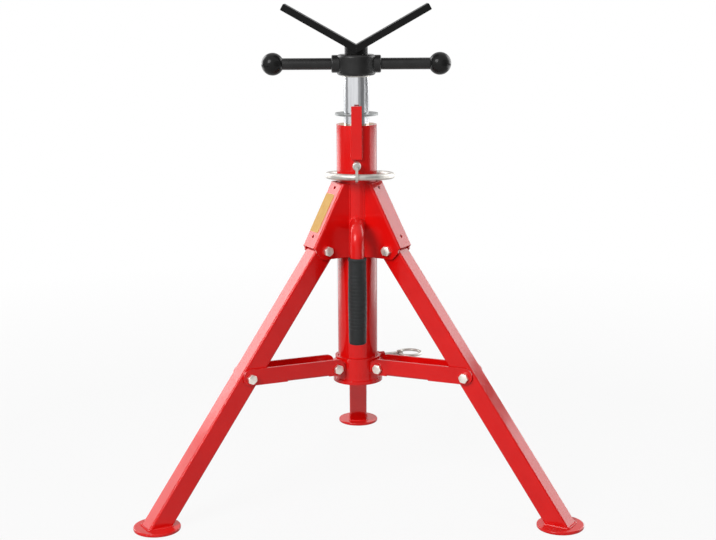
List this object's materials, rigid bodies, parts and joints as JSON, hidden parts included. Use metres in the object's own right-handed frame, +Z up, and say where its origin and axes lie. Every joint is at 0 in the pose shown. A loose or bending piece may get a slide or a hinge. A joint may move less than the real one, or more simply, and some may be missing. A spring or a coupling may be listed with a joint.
{
  "type": "folding pipe stand",
  "caption": "Folding tripod pipe stand with a V-shaped head on a screw lift, a pinned telescopic tube, folding legs on a sliding collar and a carry handle.",
  "frame": {"origin": "on the floor under the column's axis", "axes": "+Z up the column, -Y to the front with the handle and the height pin, +X to the right"},
  "size_m": [0.6524, 0.5741, 0.7431],
  "materials": {
    "red_paint": "glossy red enamel",
    "plated_steel": "bright plated tube",
    "dull_steel": "dull plated sheet",
    "yellow_film": "plain yellow film",
    "zinc_steel": "zinc plated",
    "black_coat": "satin black coat",
    "black_knob": "moulded, glossy",
    "screw_steel": "turned steel",
    "bush_bronze": "turned",
    "grip_rubber": "matt moulded rubber"
  },
  "bodies": {
    "column": {"column_tube": "red_paint", "column_top_bush": "bush_bronze", "leg_bracket_left": "red_paint", "leg_bracket_right": "red_paint", "leg_bracket_rear": "red_paint", "bracket_patch": "yellow_film", "plate_post": "red_paint", "handle_bar": "red_paint", "handle_grip": "grip_rubber", "leg_pivot_bolts": "zinc_steel", "leg_pivot_nuts": "zinc_steel"},
    "inner_tube": {"inner_tube": "plated_steel", "tube_guide_ring": "screw_steel", "tube_top_washer": "zinc_steel"},
    "handle_nut": {"nut_hub": "black_coat", "handle_arm_left": "black_coat", "handle_arm_right": "black_coat", "ball_knob_left": "black_knob", "ball_knob_right": "black_knob"},
    "screw": {"screw_rod": "screw_steel", "screw_stop_ring": "screw_steel"},
    "v_head": {"v_head_neck": "black_coat", "v_arm_left": "black_coat", "v_arm_right": "black_coat"},
    "height_pin": {"height_pin": "zinc_steel"},
    "pin_ring": {"pin_ring": "zinc_steel"},
    "grip_plate": {"grip_plate": "dull_steel"},
    "collar": {"collar_sleeve": "red_paint", "collar_lugs": "red_paint", "collar_bolts": "zinc_steel", "collar_nuts": "zinc_steel", "lock_boss": "red_paint"},
    "collar_pin": {"collar_pin": "zinc_steel"},
    "collar_pin_ring": {"collar_pin_ring": "zinc_steel"},
    "leg_left": {"leg_tube_left": "red_paint", "leg_bushes_left": "bush_bronze", "foot_disc_left": "red_paint"},
    "link_left": {"link_channel_left": "red_paint", "link_bolts_left": "zinc_steel"},
    "leg_right": {"leg_tube_right": "red_paint", "leg_bushes_right": "bush_bronze", "foot_disc_right": "red_paint"},
    "link_right": {"link_channel_right": "red_paint", "link_bolts_right": "zinc_steel"},
    "leg_rear": {"leg_tube_rear": "red_paint", "leg_bushes_rear": "bush_bronze", "foot_disc_rear": "red_paint"},
    "link_rear": {"link_channel_rear": "red_paint", "link_bolts_rear": "zinc_steel"}
  },
  "joints": [
    {"name": "height_slide", "type": "slide", "parent": "column", "child": "inner_tube", "axis": [0, 0, 1], "range_m": [0, 0.3]},
    {"name": "nut_turn", "type": "hinge", "parent": "inner_tube", "child": "handle_nut", "pos_m": [0, 0, 0.656], "axis": [0, 0, -1], "range_deg": [0, 3600]},
    {"name": "screw_lift", "type": "slide", "parent": "inner_tube", "child": "screw", "axis": [0, 0, 1], "range_m": [0, 0.0801]},
    {"name": "head_swivel", "type": "hinge", "parent": "screw", "child": "v_head", "pos_m": [0, 0, 0.6703], "axis": [0, 0, 1], "continuous": true},
    {"name": "pin_pull", "type": "slide", "parent": "column", "child": "height_pin", "axis": [0, -1, 0], "range_m": [0, 0.0085]},
    {"name": "pin_ring_lift", "type": "hinge", "parent": "height_pin", "child": "pin_ring", "pos_m": [0, -0.05, 0.4944], "axis": [0.9954, -0.0958, 0], "range_deg": [0, 10]},
    {"name": "plate_tilt", "type": "hinge", "parent": "column", "child": "grip_plate", "pos_m": [0, -0.0325, 0.581], "axis": [1, 0, 0], "range_deg": [0, 8]},
    {"name": "leg_fold_left", "type": "hinge", "parent": "column", "child": "leg_left", "pos_m": [-0.05283, -0.0305, 0.3845], "axis": [0.5, -0.866, 0], "range_deg": [0, 29]},
    {"name": "leg_fold_right", "type": "hinge", "parent": "column", "child": "leg_right", "pos_m": [0.05283, -0.0305, 0.3845], "axis": [0.5, 0.866, 0], "range_deg": [0, 29]},
    {"name": "leg_fold_rear", "type": "hinge", "parent": "column", "child": "leg_rear", "pos_m": [0, 0.061, 0.3845], "axis": [-1, 0, 0], "range_deg": [0, 29]},
    {"name": "collar_slide", "type": "slide", "parent": "column", "child": "collar", "axis": [0, 0, 1], "range_m": [0, 0.1037]},
    {"name": "link_swing_left", "type": "hinge", "parent": "collar", "child": "link_left", "pos_m": [-0.0394, -0.02275, 0.2017], "axis": [0.5, -0.866, 0], "range_deg": [0, 75.32]},
    {"name": "link_swing_right", "type": "hinge", "parent": "collar", "child": "link_right", "pos_m": [0.0394, -0.02275, 0.2017], "axis": [0.5, 0.866, 0], "range_deg": [0, 75.32]},
    {"name": "link_swing_rear", "type": "hinge", "parent": "collar", "child": "link_rear", "pos_m": [0, 0.0455, 0.2017], "axis": [-1, 0, 0], "range_deg": [0, 75.32]},
    {"name": "collar_pin_pull", "type": "slide", "parent": "collar", "child": "collar_pin", "axis": [0.9397, 0.342, 0], "range_m": [-0.004, 0.01]},
    {"name": "collar_ring_swing", "type": "hinge", "parent": "collar_pin", "child": "collar_pin_ring", "pos_m": [0.0639, 0.02326, 0.2085], "axis": [-0.342, 0.9397, 0], "range_deg": [-85, 85]}
  ],
  "couplings": [
    {"joint": "screw_lift", "follows": "nut_turn", "m_per_rad": 0.0012732},
    {"joint": "leg_fold_right", "follows": "leg_fold_left", "ratio": 1},
    {"joint": "leg_fold_rear", "follows": "leg_fold_left", "ratio": 1},
    {"joint": "collar_slide", "follows": "leg_fold_left", "m_per_rad": 0.20468},
    {"joint": "link_swing_left", "follows": "leg_fold_left", "ratio": 2.5956},
    {"joint": "link_swing_right", "follows": "leg_fold_left", "ratio": 2.5956},
    {"joint": "link_swing_rear", "follows": "leg_fold_left", "ratio": 2.5956}
  ]
}
